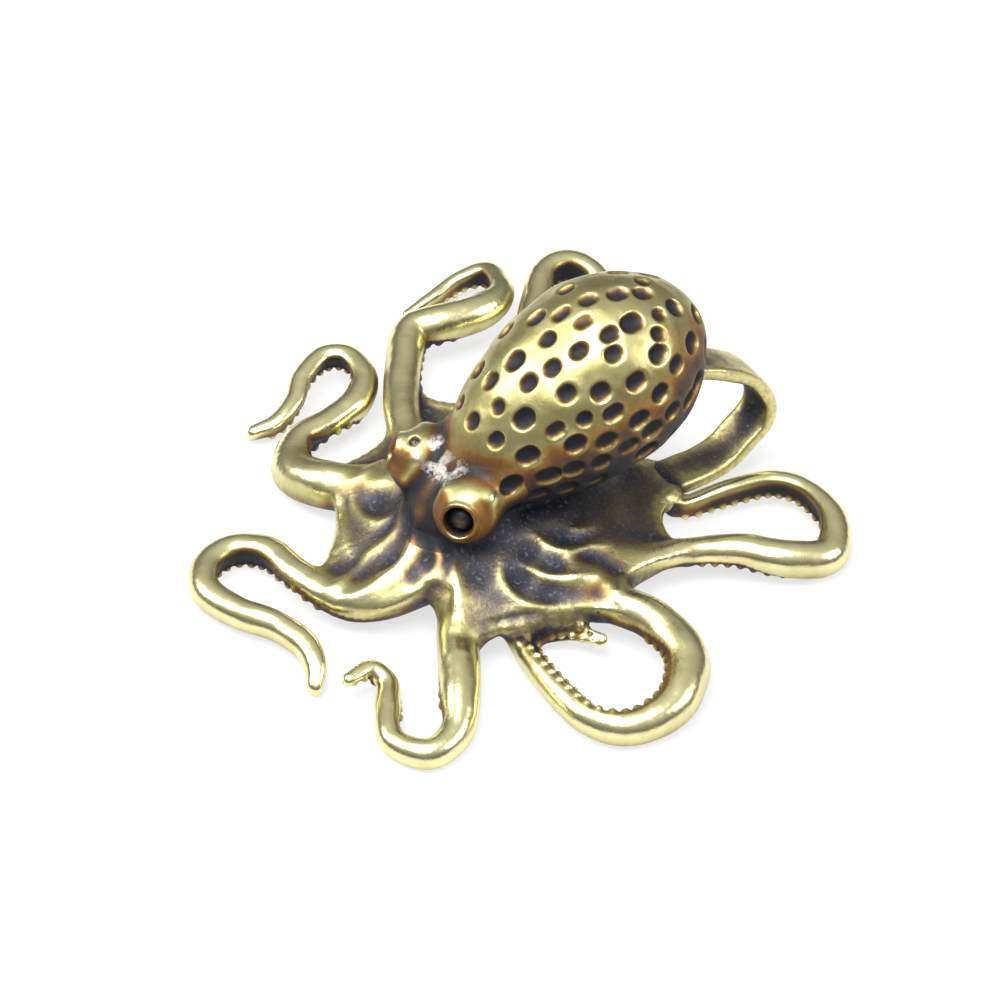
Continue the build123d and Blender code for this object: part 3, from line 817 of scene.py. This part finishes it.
def mantle_spiral():
    """Evenly spread places on the mantle, on a spiral from its front to its rear end."""
    first, last = pit_spiral_shares
    golden = math.pi * (3 - math.sqrt(5))
    spread = []
    for index in range(pit_tries):
        along = mantle_length * (first + (last - first) * (index + 0.5) / pit_tries)
        around = index * golden
        aside = math.cos(around) * np.array((1.0, 0, 0)) - math.sin(around) * mantle_below
        spread.append(mantle_front + mantle_axis * along + aside * pit_spiral_radius)
    spread = np.array(spread)
    for _ in range(40):
        spread -= mantle_out(spread) * mantle_shape(*spread.T)[:, None] * 0.9
    return spread


def pit_places():
    """Pits where the photograph shows them, their mirror images, and more on what is left."""
    seen = seen_on_mantle(pit_pixels)
    places = list(seen)
    mirrored = seen * (-1, 1, 1) + (2 * plan_zero[0], 0, 0)
    for place in np.vstack([mirrored, mantle_spiral()]):
        if (place - mantle_front) @ mantle_axis < pit_start:
            continue
        if min(np.linalg.norm(place - other) for other in places) > pit_spacing:
            places.append(place)
    return np.array(places)


def make_mantle():
    """The egg-shaped body, still without its pits."""
    low, high = corners_of(
        [mantle_front + mantle_axis * along for along in (0, cap_middle, waist)],
        [front_half, cap_radius, half_width],
    )
    mantle = Field(low, high)
    mantle.join(low, high, mantle_shape)
    return mantle


# The hanging loop

def loop_course():
    """Middle points of the band, from its seat below the mantle to its foot on the web."""
    foot = plan(*(arm_reach * np.array(loop_foot_shares)))
    foot[2] = web_top(foot[0], foot[1]) - web_wall / 2
    below_share, along_share = loop_seat_shares
    seat = mantle_front + mantle_below * half_width * below_share + mantle_axis * mantle_length * along_share
    ups, backs = np.array(loop_line_shares).T
    line = foot + np.outer(ups, seat - foot) + np.outer(backs, (0, loop_reach, 0))
    return smooth_line(line, line_steps)


def make_loop():
    """The flat band behind the mantle."""
    points = loop_course()
    low, high = corners_of(points, loop_width / 2 + loop_room)
    loop = Field(low, high)

    def band(x, y, z):
        nearest = np.full(np.broadcast(x, y, z).shape, far, np.float32)
        for one, other in zip(points, points[1:]):
            wy, wz = other[1] - one[1], other[2] - one[2]
            share = np.clip(((y - one[1]) * wy + (z - one[2]) * wz) / (wy ** 2 + wz ** 2), 0, 1)
            off_line = np.hypot(y - one[1] - share * wy, z - one[2] - share * wz)
            off_middle = np.abs(x - one[0] - share * (other[0] - one[0]))
            across = -smooth_min(loop_thickness / 2 - off_line, loop_width / 2 - off_middle, loop_edge)
            nearest = np.minimum(nearest, across)
        return nearest

    loop.join(low, high, band)
    return loop


# One skin from all the fields

def arm_blends(part):
    """How widely an arm flows into the web and head at each place of its field on the plan."""
    x, y = [axis_places(k, part.start[k], part.stop[k]) for k in range(2)]
    root = root_share(x[:, None], y[None, :]).astype(np.float32)
    return (arm_blend + root_blend * root)[:, :, None]


def blended_skin(fields):
    """The surface of the whole casting, in which the forms flow into each other."""
    core = Field(grid_low, grid_high).values
    for name, blend in core_blends.items():
        part = fields[name]
        core[part.on_grid] = smooth_min(core[part.on_grid], part.values, blend)
    skin = core.copy()
    for name, part in fields.items():
        if name in core_blends:
            continue
        blend = loop_blend if name == "hanging_loop" else 0.0
        if name.startswith("arm"):
            blend = arm_blends(part)
        joined = smooth_min(core[part.on_grid], part.values, blend)
        skin[part.on_grid] = np.minimum(skin[part.on_grid], joined)
    whole = Field(grid_low, grid_high)
    heights = axis_places(2, 0, grid_shape[2]).astype(np.float32)
    whole.values = np.maximum(skin, -heights)
    return whole


def onto_skin(skin, place, way, reach):
    """Where a line from a place meets the skin, or nothing where it starts inside it."""
    steps = place + np.outer(np.arange(0, reach, pitch / 4), way)
    inside = sample(skin.values, (steps - grid_low) / pitch) < 0
    return steps[inside.argmax()] if inside.any() and not inside[0] else None


def seen_on_skin(skin, pixel):
    """Place of the skin behind a pixel of the photograph."""
    ray = rays_through(pixel)[0]
    start = eye_point + ray * (view_distance - skin_sight_start)
    return onto_skin(skin, start, ray, skin_sight_length)


def add_folds(skin):
    """Raises sharp folds on the skin of the web, and lowers the hollows between them."""
    scoops = [(seen_on_skin(skin, pixel), width / 2, depth) for pixel, width, depth in scoop_pixels]
    relief = Field(grid_low, grid_high)
    relief.values[:] = 0
    for pixels, height in fold_pixels:
        crest = np.array([seen_on_skin(skin, dot) for dot in smooth_line(pixels, fold_steps)])
        for _ in range(3):
            crest[1:-1] = (crest[:-2] + 2 * crest[1:-1] + crest[2:]) / 4
        # A fold runs out over the first and the last third of its way
        way = np.linspace(0, 1, len(crest))
        heights = height * smooth_step(-0.2, 1, 3 * np.minimum(way, 1 - way))
        for one, other, rise in zip(crest, crest[1:], heights):
            slices, place = relief.window(*corners_of([one, other], [fold_room] * 2))
            distance = rod(one, other, 0.0, 0.0)(*place)
            bump = rise * np.exp(-np.hypot(distance, fold_round) / fold_width)
            relief.values[slices] = np.maximum(relief.values[slices], bump)
    for spot, radius, depth in scoops:
        slices, place = relief.window(*corners_of(spot, radius))
        distance = ball(spot, 0.0)(*place)
        relief.values[slices] -= depth * np.exp(-((distance / radius) ** 2))
    skin.values -= relief.values


def add_pits(skin):
    """Carves the pits of the mantle, also into what flows over it."""
    places = pit_places()
    for place, out in zip(places, mantle_out(places)):
        size = pit_radius * random.uniform(*pit_sizes)
        size += pit_lower_extra * smooth_step(*pit_lower_ends, out @ mantle_below)
        along = np.cross(np.cross(out, mantle_axis), out)
        along /= np.linalg.norm(along)
        stretch = random.uniform(0.0, pit_stretch) * along
        lift = pit_lift * random.uniform(*pit_lifts)
        surface = onto_skin(skin, place + out * pit_probe_start, -out, pit_probe_length)
        if surface is not None:
            middle = surface + out * lift
            hole = rod(middle - stretch, middle + stretch, size, size)
            skin.carve(*corners_of(middle, size + pit_room), hole, pit_edge)


# Closed pieces from the skin

def shares_of_space(fields):
    """At each place the distance to the nearest form, to the next one, and the nearest's number."""
    nearest = np.full(grid_shape, far, np.float32)
    next_one = np.full(grid_shape, far, np.float32)
    owner = np.full(grid_shape, -1, np.int8)
    for number, part in enumerate(fields.values()):
        here = part.on_grid
        better = part.values < nearest[here]
        next_one[here] = np.where(better, nearest[here], np.minimum(next_one[here], part.values))
        nearest[here] = np.where(better, part.values, nearest[here])
        owner[here][better] = number
    return nearest, next_one, owner


def seam_values(number, part, skin, space):
    """Distances to a form's own share of the skin, which sinks where it runs below another's."""
    nearest, next_one, owner = [grid[part.on_grid] for grid in space]
    others = np.where(owner == number, next_one, nearest)
    beyond = (part.values - others) / 2
    sunk = skin.values[part.on_grid] + seam_sink * np.maximum(beyond, 0)
    return np.maximum(sunk, beyond - seam_overlap)


def surface_net(values):
    """Points and four-sided faces of the zero surface, with a point in each cell that it crosses."""
    inside = values < 0
    filled = np.zeros(np.array(values.shape) - 1, np.int8)
    for dx, dy, dz in np.ndindex(2, 2, 2):
        filled += inside[dx:dx + filled.shape[0], dy:dy + filled.shape[1], dz:dz + filled.shape[2]]
    crossed = (filled > 0) & (filled < 8)
    cells = np.argwhere(crossed)
    numbers = np.full(crossed.shape, -1, np.int32)
    numbers[crossed] = np.arange(len(cells))
    total = np.zeros((len(cells), 3))
    count = np.zeros((len(cells), 1))
    for axis in range(3):
        for one, other in np.ndindex(2, 2):
            start = np.insert([one, other], axis, 0)
            end = np.insert([one, other], axis, 1)
            near = values[tuple((cells + start).T)]
            beyond = values[tuple((cells + end).T)]
            split = (near < 0) != (beyond < 0)
            share = np.where(split, near / np.where(split, near - beyond, 1), 0)
            total[split] += start + share[split, None] * (end - start)
            count[split] += 1
    points = cells + total / count
    faces = []
    for axis in range(3):
        order = (axis, (axis + 1) % 3, (axis + 2) % 3)
        line, index = inside.transpose(order), numbers.transpose(order)
        here, beyond = line[:-1, 1:-1, 1:-1], line[1:, 1:-1, 1:-1]
        for way_in in (True, False):
            i, j, k = np.nonzero((here != beyond) & (here == way_in))
            quad = [index[i, j, k], index[i, j + 1, k], index[i, j + 1, k + 1], index[i, j, k + 1]]
            quad = np.stack(quad if way_in else quad[::-1], axis=1)
            faces.append(quad)
    return points, np.vstack(faces)


def sample(values, places):
    """Values of a grid between its points, at places in steps of the grid."""
    places = np.clip(places, 0, np.array(values.shape) - 1.001)
    corner = places.astype(int)
    part = places - corner
    total = np.zeros(len(places))
    for offset in np.ndindex(2, 2, 2):
        weight = np.prod(np.where(offset, part, 1 - part), axis=1)
        total += weight * values[tuple((corner + offset).T)]
    return total


def slopes(values, places, step=0.7):
    """Unit directions in which a grid's values grow."""
    rise = np.stack([
        sample(values, places + offset) - sample(values, places - offset) for offset in np.eye(3) * step
    ], axis=1)
    return rise / np.maximum(np.linalg.norm(rise, axis=1), 1e-9)[:, None]


def evened_out(points, faces, values):
    """Spaces the points of a net evenly, and puts them back on the zero surface."""
    corners = faces.ravel()
    count = np.bincount(corners, minlength=len(points))
    for _ in range(4):
        middles = np.repeat(points[faces].mean(axis=1), 4, axis=0)
        sums = [np.bincount(corners, middle, len(points)) for middle in middles.T]
        points = points + 0.7 * (np.stack(sums, axis=1) / count[:, None] - points)
        for _ in range(2):
            step = np.clip(sample(values, points) / pitch, -0.5, 0.5)
            points = points - slopes(values, points) * step[:, None]
    return points


def blurred(values, width):
    """A grid's values, evened out three times over a box of a width in steps."""
    for _ in range(3):
        for axis in range(3):
            sums = np.moveaxis(np.cumsum(values, axis=axis, dtype=np.float64), axis, 0)
            before, after = [(width, 0), (0, 0), (0, 0)], [(0, width), (0, 0), (0, 0)]
            totals = np.pad(sums, after, mode="edge") - np.pad(sums, before)
            middle = totals[width // 2:width // 2 + len(sums)] / width
            values = np.moveaxis(middle, 0, axis)
    return values


def nearest_on_course(places, points):
    """Numbers of the course points nearest to places."""
    gaps = ((places[:, None, :] - points[None, :, :]) ** 2).sum(2)
    return gaps.argmin(1)


# Materials

def feed(tree, socket, value):
    """Gives a socket a link or a value of its own."""
    if isinstance(value, bpy.types.NodeSocket):
        tree.links.new(value, socket)
    else:
        socket.default_value = value


def add_node(tree, kind, **inputs):
    """A node with values or links for its inputs, by name."""
    made = tree.nodes.new(kind)
    for key, value in inputs.items():
        feed(tree, made.inputs[key.replace("_", " ")], value)
    return made


def mathematics(tree, operation, *values, clamp=False):
    """The result of a Math node."""
    made = tree.nodes.new("ShaderNodeMath")
    made.operation = operation
    made.use_clamp = clamp
    for socket, value in zip(made.inputs, values):
        feed(tree, socket, value)
    return made.outputs[0]


def ramp(tree, factor, stops):
    """The colour at a factor, from pairs of position and colour."""
    made = tree.nodes.new("ShaderNodeValToRGB")
    tree.links.new(factor, made.inputs[0])
    elements = made.color_ramp.elements
    while len(elements) < len(stops):
        elements.new(0.5)
    for element, (position, colour) in zip(elements, stops):
        element.position = position
        element.color = (*colour, 1.0)
    return made.outputs[0]


def attribute_value(tree, name):
    """A value that the mesh holds for each of its points."""
    made = tree.nodes.new("ShaderNodeAttribute")
    made.attribute_name = name
    return made.outputs["Fac"]


def colour_mix(tree, factor, one, other):
    """A colour between two others, each a link or a colour without its alpha."""
    made = tree.nodes.new("ShaderNodeMix")
    made.data_type = "RGBA"
    for index, value in ((0, factor), (6, one), (7, other)):
        feed(tree, made.inputs[index], (*value, 1.0) if isinstance(value, tuple) else value)
    return made.outputs[2]


def finished(tree, shader):
    """Ends a tree's nodes with its output."""
    kind = "ShaderNodeOutputWorld" if shader.type == "BACKGROUND" else "ShaderNodeOutputMaterial"
    tree.links.new(shader.outputs[0], tree.nodes.new(kind).inputs[0])


# Colours of the brass and of its rough cast skin, from polished to black, for patina and painted shade alike
brass_tones = [
    (0.00, (0.86, 0.80, 0.43)), (0.24, (0.62, 0.565, 0.26)), (0.42, (0.345, 0.297, 0.115)),
    (0.56, (0.27, 0.130, 0.037)), (0.70, (0.100, 0.058, 0.034)), (0.82, (0.033, 0.029, 0.030)),
    (1.00, (0.018, 0.020, 0.027)),
]
cast_tones = [
    (0.00, (0.78, 0.71, 0.33)), (0.28, (0.50, 0.44, 0.19)), (0.48, (0.23, 0.195, 0.115)),
    (0.64, (0.092, 0.082, 0.074)), (0.80, (0.040, 0.039, 0.048)), (1.00, (0.020, 0.022, 0.031)),
]
grain_colour = (0.30, 0.30, 0.33)
silver_colour = (0.68, 0.65, 0.58)
# Clouds and grit in the patina: how many to a metre, their detail and their roughness
cloud_and_grit = [(420.0, 5.0, 0.6), (2900.0, 4.0, 0.7)]
cell_scale = 5200.0
bump_depth = 0.06 * mm
metal_shares = [(0.0, (1, 1, 1)), (0.60, (0.95,) * 3), (0.85, (0.6,) * 3)]


def darkness(tree, cloud, fine, cast, tone):
    """The patina and painted light and shade, with clouds and grit in it."""
    speckle = mathematics(tree, "MULTIPLY_ADD", cast, 0.42, 0.14)
    grit = mathematics(tree, "MULTIPLY", mathematics(tree, "SUBTRACT", fine, 0.5), speckle)
    mottle = mathematics(tree, "MULTIPLY_ADD", cloud, 0.42, tone - 0.21)
    dark = mathematics(tree, "ADD", attribute_value(tree, "patina_and_painted_light"), mottle)
    return mathematics(tree, "ADD", dark, grit, clamp=True)


def with_grains(tree, colour, fine, cast):
    """Pale grains on the rough cast skin."""
    grains = mathematics(tree, "SUBTRACT", fine, 0.53, clamp=True)
    grains = mathematics(tree, "MULTIPLY", grains, 5.0, clamp=True)
    grains = mathematics(tree, "MULTIPLY", mathematics(tree, "MULTIPLY", grains, cast), 0.55)
    return colour_mix(tree, grains, colour, grain_colour)


def with_silver(tree, colour, fine):
    """The rubbed patch, broken up along its edge."""
    worn = attribute_value(tree, "worn")
    broken = mathematics(tree, "MULTIPLY_ADD", mathematics(tree, "SUBTRACT", fine, 0.5), 4.0, -0.35)
    silver = mathematics(tree, "MULTIPLY_ADD", worn, 2.2, broken, clamp=True)
    within = mathematics(tree, "MULTIPLY", worn, 4.0, clamp=True)
    silver = mathematics(tree, "MULTIPLY", mathematics(tree, "MULTIPLY", silver, within), 0.70)
    return colour_mix(tree, silver, colour, silver_colour)


def brass(name, tone, polish):
    """Antique brass: bright where it is rubbed or a highlight is painted, brown to black in its hollows and
    where shade is painted.
    """
    material = bpy.data.materials.new(name)
    material.use_nodes = True
    tree = material.node_tree
    tree.nodes.clear()
    place = tree.nodes.new("ShaderNodeTexCoord").outputs["Object"]
    cast = attribute_value(tree, "cast")
    cloud, fine = [
        add_node(tree, "ShaderNodeTexNoise", Vector=place, Scale=scale, Detail=detail, Roughness=roughness)
        .outputs[0] for scale, detail, roughness in cloud_and_grit
    ]
    cells = add_node(tree, "ShaderNodeTexVoronoi", Vector=place, Scale=cell_scale).outputs["Distance"]
    dark = darkness(tree, cloud, fine, cast, tone)
    colour = colour_mix(tree, cast, ramp(tree, dark, brass_tones), ramp(tree, dark, cast_tones))
    colour = with_silver(tree, with_grains(tree, colour, fine, cast), fine)
    rough = mathematics(tree, "MULTIPLY_ADD", dark, 0.40, polish)
    rough = mathematics(tree, "MULTIPLY_ADD", cloud, 0.12, rough)
    relief = mathematics(tree, "MULTIPLY_ADD", cells, 0.35, fine)
    grain = mathematics(tree, "MULTIPLY_ADD", cast, 0.75, mathematics(tree, "MULTIPLY_ADD", dark, 0.5, 0.2))
    bump = add_node(
        tree, "ShaderNodeBump", Height=mathematics(tree, "MULTIPLY", relief, grain),
        Strength=0.5, Distance=bump_depth,
    )
    finished(tree, add_node(
        tree, "ShaderNodeBsdfPrincipled", Base_Color=colour, Metallic=ramp(tree, dark, metal_shares),
        Roughness=rough, Normal=bump.outputs[0],
    ))
    return material


materials = {
    "bright_brass": brass("bright_brass", 0.0, 0.18),
    "aged_brass": brass("aged_brass", 0.0, 0.18),
    "rough_brass": brass("rough_brass", 0.08, 0.22),
    "dark_patina": brass("dark_patina", 0.6, 0.0),
}


# The patina and painted light and shade of each form, from 0 for bright to 1 for black. Outward is a unit
# direction.

def arm_patina_and_painted_light(name, places, outward, near_web, patina_and_painted_light):
    """Black on the sucker side, as patina between the suckers and painted shade on that side, with the
    suckers worn bright, and a painted highlight on top.
    """
    points, radii, way, sucker_way, _ = arm_course(name)
    index = nearest_on_course(places, points)
    height = ((places - points[index]) * sucker_way[index]).sum(1) / radii[index]
    suckers = smooth_step(0.12, 0.28, (way / way[-1])[index])
    bead_shine = 0.45 if name in two_row_arms else 0.15
    # Painted highlight: sides that face up, off the web, are made lighter.
    patina_and_painted_light = patina_and_painted_light - 0.12 * smooth_step(0.2, 0.8, outward[:, 2]) * (1 - near_web)
    # The sucker side turns dark: patina between the suckers, and painted shade on this inward, downward
    # side.
    patina_and_painted_light += 0.60 * suckers * smooth_step(0.14, 0.38, height)
    return patina_and_painted_light - bead_shine * suckers * smooth_step(0.64, 0.82, height)


def head_patina_and_painted_light(places, outward, near_web, patina_and_painted_light):
    """Painted shade in front, darker low down, and painted shade in brown on the eye mounds below their
    tops, which keep a painted highlight.
    """
    # Sides facing front and down get painted shade; the head is also darker lower down.
    front = smooth_step(0.1, 0.7, -outward[:, 1] * 0.6 - outward[:, 2] * 0.8)
    low_part = smooth_step(*head_shade_ends, places[:, 2] - brow_height)
    patina_and_painted_light = patina_and_painted_light + (0.08 + 0.22 * np.maximum(front, low_part)) * (1 - near_web) ** 2
    # Painted highlight: the upward-facing tops of the eye mounds stay bright, while the rest of each mound
    # gets painted shade in brown.
    lit = smooth_step(0.74, 0.93, outward[:, 2])
    for side in (1, -1):
        from_eye = np.linalg.norm(places - brow(side) - eye_out(side) * brow_width / 2, axis=1)
        mound = smooth_step(*eye_shade_ends, from_eye) * (1 - 0.8 * lit)
        patina_and_painted_light = np.maximum(patina_and_painted_light, 0.60 * mound)
    return patina_and_painted_light


def mantle_patina_and_painted_shade(outward, patina_and_painted_light):
    """Darker down the flanks and below: painted shade."""
    # Painted shade on the side that faces down.
    return patina_and_painted_light + 0.36 * smooth_step(-0.80, -0.02, outward @ mantle_below)


def loop_patina_and_painted_shade(places, outward, patina_and_painted_light):
    """Mottled, and darker on the inside of the loop, where shade is painted."""
    inward = loop_eye - places
    inward[:, 0] = 0
    inward /= np.linalg.norm(inward, axis=1)[:, None]
    # Painted shade on the inside of the loop.
    inside = smooth_step(0.2, 0.8, (outward * inward).sum(1))
    return patina_and_painted_light + 0.20 * inside + 0.15 + 0.20 * noise(places, loop_mottle_size)


def patina_and_painted_light_at(name, places, outward, near_web, hollow_fine, hollow_wide):
    """How dark the patina and the painted shade are: patina stays in hollows, and sides that face down are
    darker, partly patina that no cloth rubs and partly painted shade.
    """
    # Sides that face down are darker: painted shade, partly patina that no cloth rubs.
    down = smooth_step(0.45, -0.6, outward[:, 2])
    patina_and_painted_light = 0.33 + 2.8 * (hollow_fine - 0.47) + 0.9 * (hollow_wide - 0.33) + 0.38 * down
    patina_and_painted_light += 0.13 * near_web
    patina_and_painted_light -= 0.11 * near_web * smooth_step(*web_light_ends, (places - plan_zero) @ view_right)
    if name.startswith("arm"):
        patina_and_painted_light = arm_patina_and_painted_light(name, places, outward, near_web, patina_and_painted_light)
    elif name == "head":
        patina_and_painted_light = head_patina_and_painted_light(places, outward, near_web, patina_and_painted_light)
    elif name == "mantle":
        patina_and_painted_light = mantle_patina_and_painted_shade(outward, patina_and_painted_light)
    elif name == "hanging_loop":
        patina_and_painted_light = loop_patina_and_painted_shade(places, outward, patina_and_painted_light)
    return np.clip(patina_and_painted_light, 0, 1)


def worn_at(places):
    """How far a rubbed, silvery patch between the eyes and the mantle has worn."""
    distance = np.linalg.norm((places - worn_middle) / worn_reach, axis=1)
    broken = smooth_step(-0.45, 0.25, noise(places, worn_break_size))
    return worn_most * smooth_step(1.05, 0.35, distance) * broken


def near_web_at(places, web):
    """1 where a place lies on the web's own surface, and 0 where it is well off it."""
    web_place = (places - grid_low) / pitch - web.start
    within = np.all((web_place > 0) & (web_place < np.array(web.values.shape) - 1), axis=1)
    return smooth_step(*near_web_ends, np.where(within, sample(web.values, web_place), far))


# The pieces

def cast_lumps(name, places):
    """How far the cast surface stands out of the smooth one."""
    height = mantle_lump_height if name == "mantle" else lump_height
    return height * noise(places, lump_size) + small_lump_height * noise(places, small_lump_size)


def piece_mesh(name, places, faces, point_values):
    """A smooth mesh of four-sided faces, with values for each of its points."""
    mesh = bpy.data.meshes.new(name)
    mesh.vertices.add(len(places))
    mesh.vertices.foreach_set("co", (places * mm).astype(np.float32).ravel())
    mesh.loops.add(faces.size)
    mesh.loops.foreach_set("vertex_index", faces.ravel().astype(np.int32))
    mesh.polygons.add(len(faces))
    mesh.polygons.foreach_set("loop_start", np.arange(0, faces.size, 4, dtype=np.int32))
    mesh.update(calc_edges=True)
    mesh.validate()
    mesh.shade_smooth()
    for key, values in point_values.items():
        attribute = mesh.attributes.new(key, "FLOAT", "POINT")
        attribute.data.foreach_set("value", values.astype(np.float32))
    return mesh


def add_piece(name, number, fields, skin, space, occupied):
    """Cuts a form's own share out of the skin and makes it a closed mesh."""
    part = fields[name]
    values = np.pad(seam_values(number, part, skin, space), 1, constant_values=far)
    points, faces = surface_net(values)
    grid_places = evened_out(points, faces, values) - 1 + part.start
    places = grid_places * pitch + grid_low
    outward = slopes(skin.values, grid_places)
    hollow = [sample(grid, grid_places / 2) for grid in occupied]
    near_web = near_web_at(places, fields["web"])
    patina_and_painted_light = patina_and_painted_light_at(name, places, outward, near_web, *hollow)
    places = places + outward * cast_lumps(name, places)[:, None]
    places[:, 2] = np.maximum(places[:, 2], 0)
    mesh = piece_mesh(name + "_cast", places, faces, {
        "patina_and_painted_light": patina_and_painted_light, "worn": worn_at(places), "cast": np.maximum(near_web, name == "hanging_loop"),
    })
    piece = bpy.data.objects.new(name + "_cast", mesh)
    bpy.context.scene.collection.objects.link(piece)
    mesh.materials.append(materials[material_slots[name]])
    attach(piece, "root")
    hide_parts(name)


def add_octopus():
    """All the pieces of the casting."""
    fields = {"web": make_web(), "head": make_head(), "mantle": make_mantle()}
    for name in arm_route_shares:
        fields[name] = make_arm(name)
    fields["hanging_loop"] = make_loop()
    fields["left_pupil"] = make_pupil(1)
    fields["right_pupil"] = make_pupil(-1)
    skin = blended_skin(fields)
    add_folds(skin)
    add_pits(skin)
    space = shares_of_space(fields)
    filled = np.clip(0.5 - skin.values[::2, ::2, ::2] / (2 * pitch), 0, 1)
    occupied = [blurred(filled, max(3, 2 * round(width / pitch / 4) + 1)) for width in hollow_widths]
    for number, name in enumerate(fields):
        add_piece(name, number, fields, skin, space, occupied)


# The floor, the light and the camera

floor_width = 8.0         # in m, and how far it lies below the octopus
floor_drop = 0.02 * mm


def make_floor():
    """A wide pale floor, on which the shadow stays faint."""
    mesh = bpy.data.meshes.new("floor")
    far_out = floor_width / 2
    corners = [(x * far_out, y * far_out, 0) for x, y in ((-1, -1), (1, -1), (1, 1), (-1, 1))]
    mesh.from_pydata(corners, [], [(0, 1, 2, 3)])
    floor = bpy.data.objects.new("floor", mesh)
    bpy.context.scene.collection.objects.link(floor)
    floor.location.z = -floor_drop
    material = bpy.data.materials.new("floor")
    material.use_nodes = True
    tree = material.node_tree
    tree.nodes.clear()
    path = tree.nodes.new("ShaderNodeLightPath").outputs
    seen = mathematics(tree, "MAXIMUM", path["Is Camera Ray"], path["Is Glossy Ray"])
    matt = add_node(tree, "ShaderNodeBsdfDiffuse", Color=(0.86, 0.86, 0.86, 1.0))
    glow = add_node(tree, "ShaderNodeEmission", Color=(1.0, 1.0, 1.0, 1.0), Strength=1.0)
    mix = tree.nodes.new("ShaderNodeMixShader")
    tree.links.new(mathematics(tree, "MULTIPLY", seen, 0.72), mix.inputs[0])
    tree.links.new(matt.outputs[0], mix.inputs[1])
    tree.links.new(glow.outputs[0], mix.inputs[2])
    finished(tree, mix)
    mesh.materials.append(material)


def make_world():
    """Even studio light, brighter from above."""
    world = bpy.data.worlds.new("studio")
    bpy.context.scene.world = world
    world.use_nodes = True
    tree = world.node_tree
    tree.nodes.clear()
    split = tree.nodes.new("ShaderNodeSeparateXYZ")
    tree.links.new(tree.nodes.new("ShaderNodeTexCoord").outputs["Generated"], split.inputs[0])
    colour = ramp(tree, split.outputs["Z"], [
        (0.0, (0.08, 0.08, 0.09)), (0.30, (0.17, 0.17, 0.18)), (0.55, (0.36, 0.36, 0.36)),
        (1.0, (0.66, 0.66, 0.66)),
    ])
    finished(tree, add_node(tree, "ShaderNodeBackground", Color=colour, Strength=1.0))


def place_holder(name, data, location, back):
    """Puts a lamp or camera at a place in m. It looks against a direction."""
    holder = bpy.data.objects.new(name, data)
    bpy.context.scene.collection.objects.link(holder)
    holder.location = location
    holder.rotation_euler = Vector(back).to_track_quat("Z", "Y").to_euler()
    return holder


def add_lamp(name, turn, rise, distance, size, power):
    """A soft square lamp that looks at the octopus."""
    lamp = bpy.data.lights.new(name, "AREA")
    lamp.shape = "SQUARE"
    lamp.size = size
    lamp.energy = power
    back = direction(turn, rise)
    place_holder(name, lamp, back * distance, back)


def make_camera():
    """The camera, at the photograph's place."""
    camera = bpy.data.cameras.new("camera")
    camera.sensor_width = sensor_width
    camera.lens = sensor_width * pixels_to_mm * view_distance / image_side
    bpy.context.scene.camera = place_holder("camera", camera, eye_point * mm, view_back)


material_slots = {row["node"]: row["material_slot"] for row in frame["record"]["subparts"]}
add_octopus()
make_floor()
make_world()
for lamp_name, sizes_and_power in lamps.items():
    add_lamp(lamp_name, *sizes_and_power)
make_camera()
bpy.context.scene.view_settings.view_transform = "Standard"
